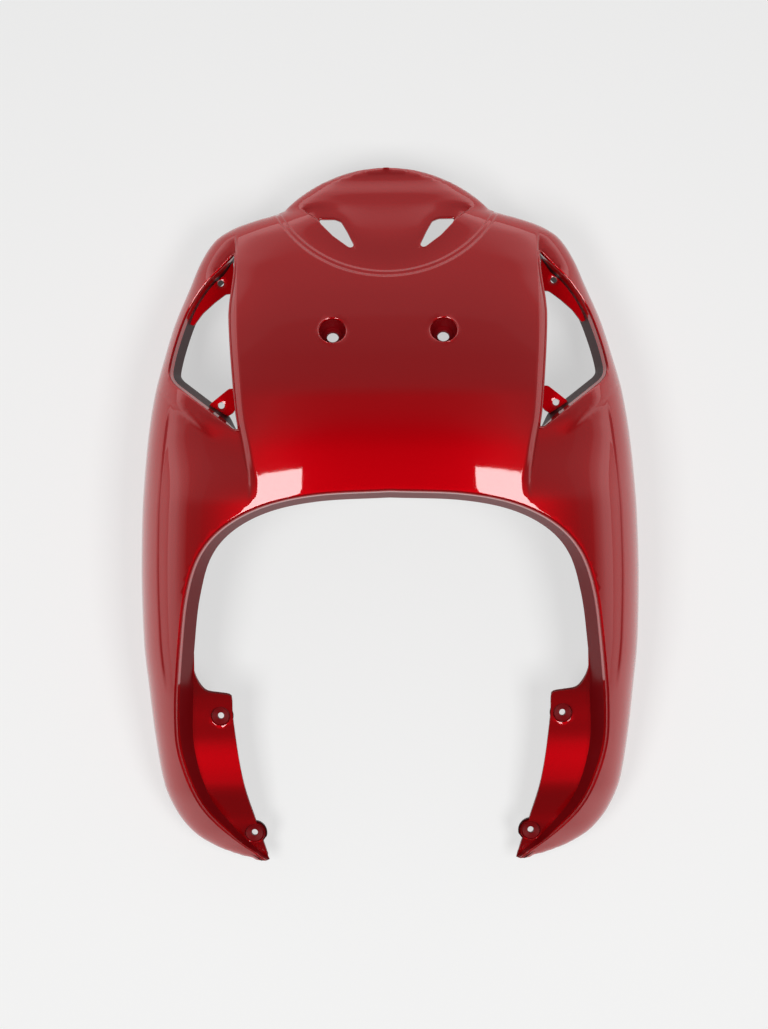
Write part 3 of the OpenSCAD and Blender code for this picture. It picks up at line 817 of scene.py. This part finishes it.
def mirrored_skin():
    """The outer skin of both halves in metres, with the middle of its length at zero."""
    points = np.array(build.points)
    n, n_faces = len(points), len(build.faces)
    verts = np.vstack([points, points * (-1, 1, 1)])
    verts[:, 1] -= LENGTH / 2
    faces = build.faces + [tuple(n + k for k in reversed(f)) for f in build.faces]
    mesh = bpy.data.meshes.new(SHELL_NAME)
    mesh.from_pydata((verts / 1000).tolist(), [], faces)
    paints_or_shade = [build.paint_or_shade.get(k % n_faces, PAINTED) for k in range(len(faces))]
    mesh.polygons.foreach_set("material_index", paints_or_shade)
    bm = bmesh.new()
    bm.from_mesh(mesh)
    bmesh.ops.remove_doubles(bm, verts=bm.verts, dist=WELD)
    bmesh.ops.dissolve_degenerate(bm, edges=bm.edges, dist=DEGENERATE)
    loose = [v for v in bm.verts if not v.link_faces]
    bmesh.ops.delete(bm, geom=loose, context="VERTS")
    bm.to_mesh(mesh)
    bm.free()
    for material in (paint, painted_shade_red, back_and_painted_shade):
        mesh.materials.append(material)
    return mesh


def make_shell():
    """The skin with the wall's thickness added inwards, as one object."""
    obj = bpy.data.objects.new(SHELL_NAME, mirrored_skin())
    bpy.context.scene.collection.objects.link(obj)
    thick = obj.modifiers.new("wall", "SOLIDIFY")
    thick.thickness = WALL / 1000
    thick.offset = -1
    # the inside of the shell takes the near-black red, and its cut edges the darker red of painted shade
    thick.material_offset = BACK_AND_SHADE
    thick.material_offset_rim = SHADE_RED
    thick.use_even_offset = False
    bpy.context.view_layer.update()
    whole = bpy.data.meshes.new_from_object(obj.evaluated_get(bpy.context.evaluated_depsgraph_get()))
    obj.modifiers.clear()
    obj.data = whole
    # the wall's thickness must not reach past the stated size
    co = np.empty(len(whole.vertices) * 3, np.float32)
    whole.vertices.foreach_get("co", co)
    low = np.array((-HALF_WIDTH, -LENGTH / 2, 0)) / 1000 + BOX_MARGIN
    high = np.array((HALF_WIDTH, LENGTH / 2, HEIGHT)) / 1000 - BOX_MARGIN
    whole.vertices.foreach_set("co", np.clip(co.reshape(-1, 3), low, high).ravel())
    whole.name = SHELL_NAME
    whole.shade_smooth()
    whole.set_sharp_from_angle(angle=math.radians(SHARP_ANGLE))
    return obj


shell = make_shell()
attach(shell, "root")
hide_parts("nose_panel")

# A white paper floor, lit a little from within for the camera and for reflections
FLOOR_HALF, FLOOR_Z, FLOOR_GLOW = 4, -0.0002, 0.55
ground, tree = new_material("matt_white_paper_sweep")
matt = node(tree, "ShaderNodeBsdfDiffuse", {}, {"Color": linear("#f7f7f6")})
lit = node(tree, "ShaderNodeEmission", {}, {"Color": linear("#ffffff"), "Strength": 1.0})
floor_rays = node(tree, "ShaderNodeLightPath")
seen = node(tree, "ShaderNodeMath", {"operation": "MAXIMUM"},
            links={0: (floor_rays, "Is Camera Ray"), 1: (floor_rays, "Is Glossy Ray")})
share = node(tree, "ShaderNodeMath", {"operation": "MULTIPLY"}, {1: FLOOR_GLOW}, {0: (seen, "Value")})
paper = node(tree, "ShaderNodeMixShader",
             links={0: (share, "Value"), 1: (matt, "BSDF"), 2: (lit, "Emission")})
node(tree, "ShaderNodeOutputMaterial", links={"Surface": (paper, "Shader")})
floor_mesh = bpy.data.meshes.new("floor")
floor_corners = [(x * FLOOR_HALF, y * FLOOR_HALF, FLOOR_Z) for x, y in ((-1, -1), (1, -1), (1, 1), (-1, 1))]
floor_mesh.from_pydata(floor_corners, [], [(0, 1, 2, 3)])
floor_mesh.materials.append(ground)
floor = bpy.data.objects.new("floor", floor_mesh)
bpy.context.scene.collection.objects.link(floor)

# The room that the paint reflects: a bright band low down, brightest past the dome, and a ceiling
# that gets dimmer to its middle. The camera itself sees plain white.
BAND_STRENGTH = 4.0
scene = bpy.context.scene
world = bpy.data.worlds.new("studio")
scene.world = world
world.use_nodes = True
tree = world.node_tree
tree.nodes.clear()
direction = node(tree, "ShaderNodeTexCoord")
split = node(tree, "ShaderNodeSeparateXYZ", links={"Vector": (direction, "Generated")})


def draw(graph, points):
    """A float curve drawn as straight lines between points."""
    shape = graph.mapping.curves[0]
    shape.points[0].location, shape.points[-1].location = points[0], points[-1]
    for place, height in points[1:-1]:
        shape.points.new(place, height)
    for point in shape.points:
        point.handle_type = "VECTOR"
    graph.mapping.update()


band = node(tree, "ShaderNodeFloatCurve", links={"Value": (split, "Z")})
draw(band, ((0.0, 1.0), (0.12, 0.85), (0.24, 0.35), (0.34, 0.0), (1.0, 0.0)))
ceiling = node(tree, "ShaderNodeFloatCurve", links={"Value": (split, "Z")})
draw(ceiling, ((0.0, 0.0), (0.2, 0.1), (0.3, 0.42), (0.574, 0.36), (0.6, 0.3), (0.707, 0.26), (0.891, 0.2),
               (0.96, 0.09), (0.985, 0.02), (1.0, 0.0)))
lengthwise = node(tree, "ShaderNodeMath", {"operation": "MULTIPLY_ADD"}, {1: 0.5, 2: 0.5},
                  {0: (split, "Y")})
band_level = node(tree, "ShaderNodeFloatCurve", links={"Value": (lengthwise, "Value")})
draw(band_level, ((0.0, 0.06), (0.5, 0.28), (1.0, 0.45)))
ceiling_level = node(tree, "ShaderNodeFloatCurve", links={"Value": (lengthwise, "Value")})
draw(ceiling_level, ((0.0, 0.12), (0.47, 0.3), (0.6, 0.8), (1.0, 1.0)))
bright = node(tree, "ShaderNodeMath", {"operation": "MULTIPLY"}, {1: BAND_STRENGTH}, {0: (band, "Value")})
high = node(tree, "ShaderNodeMath", {"operation": "MULTIPLY"},
            links={0: (ceiling, "Value"), 1: (ceiling_level, "Value")})
level = node(tree, "ShaderNodeMath", {"operation": "MULTIPLY_ADD"},
             links={0: (bright, "Value"), 1: (band_level, "Value"), 2: (high, "Value")})
room_light = node(tree, "ShaderNodeBackground", {}, {"Color": (1, 1, 1, 1)},
                  {"Strength": (level, "Value")})
white = node(tree, "ShaderNodeBackground", {}, {"Color": (1, 1, 1, 1), "Strength": 1.0})
room_rays = node(tree, "ShaderNodeLightPath")
mix = node(tree, "ShaderNodeMixShader",
           links={0: (room_rays, "Is Camera Ray"), 1: (room_light, "Background"), 2: (white, "Background")})
node(tree, "ShaderNodeOutputWorld", links={"Surface": (mix, "Shader")})

# Two softboxes overhead, one well to each side, in metres and watts
BOX_X, BOX_Y, BOX_Z = 0.65, -0.35, 1.75
BOX_SIZE, BOX_POWER = (0.56, 0.75), 13.2
for name, x in (("left_window", -BOX_X), ("right_window", BOX_X)):
    light = bpy.data.lights.new(name, "AREA")
    light.shape = "RECTANGLE"
    light.size, light.size_y = BOX_SIZE
    light.energy = BOX_POWER
    box = bpy.data.objects.new(name, light)
    box.location = (x, BOX_Y, BOX_Z)
    down = Vector((0, 0, -BOX_Z))
    box.rotation_euler = down.to_track_quat("-Z", "Y").to_euler()
    scene.collection.objects.link(box)

# The camera looks straight down from 1.6 m, and its focal length is stated in the photograph's pixels
SENSOR, FOCAL_PIXELS, PHOTO_PIXELS = 36, 1925, 1029
CAMERA_PLACE, CAMERA_TURN = (-0.0045, 0.0015, 1.6), -0.58
camera = bpy.data.cameras.new("camera")
camera.sensor_fit = "VERTICAL"
camera.sensor_height = SENSOR
camera.lens = SENSOR * FOCAL_PIXELS / PHOTO_PIXELS
cam = bpy.data.objects.new("camera", camera)
cam.location = CAMERA_PLACE
cam.rotation_euler = (0, 0, math.radians(CAMERA_TURN))
scene.collection.objects.link(cam)
scene.camera = cam
scene.view_settings.view_transform = "Standard"
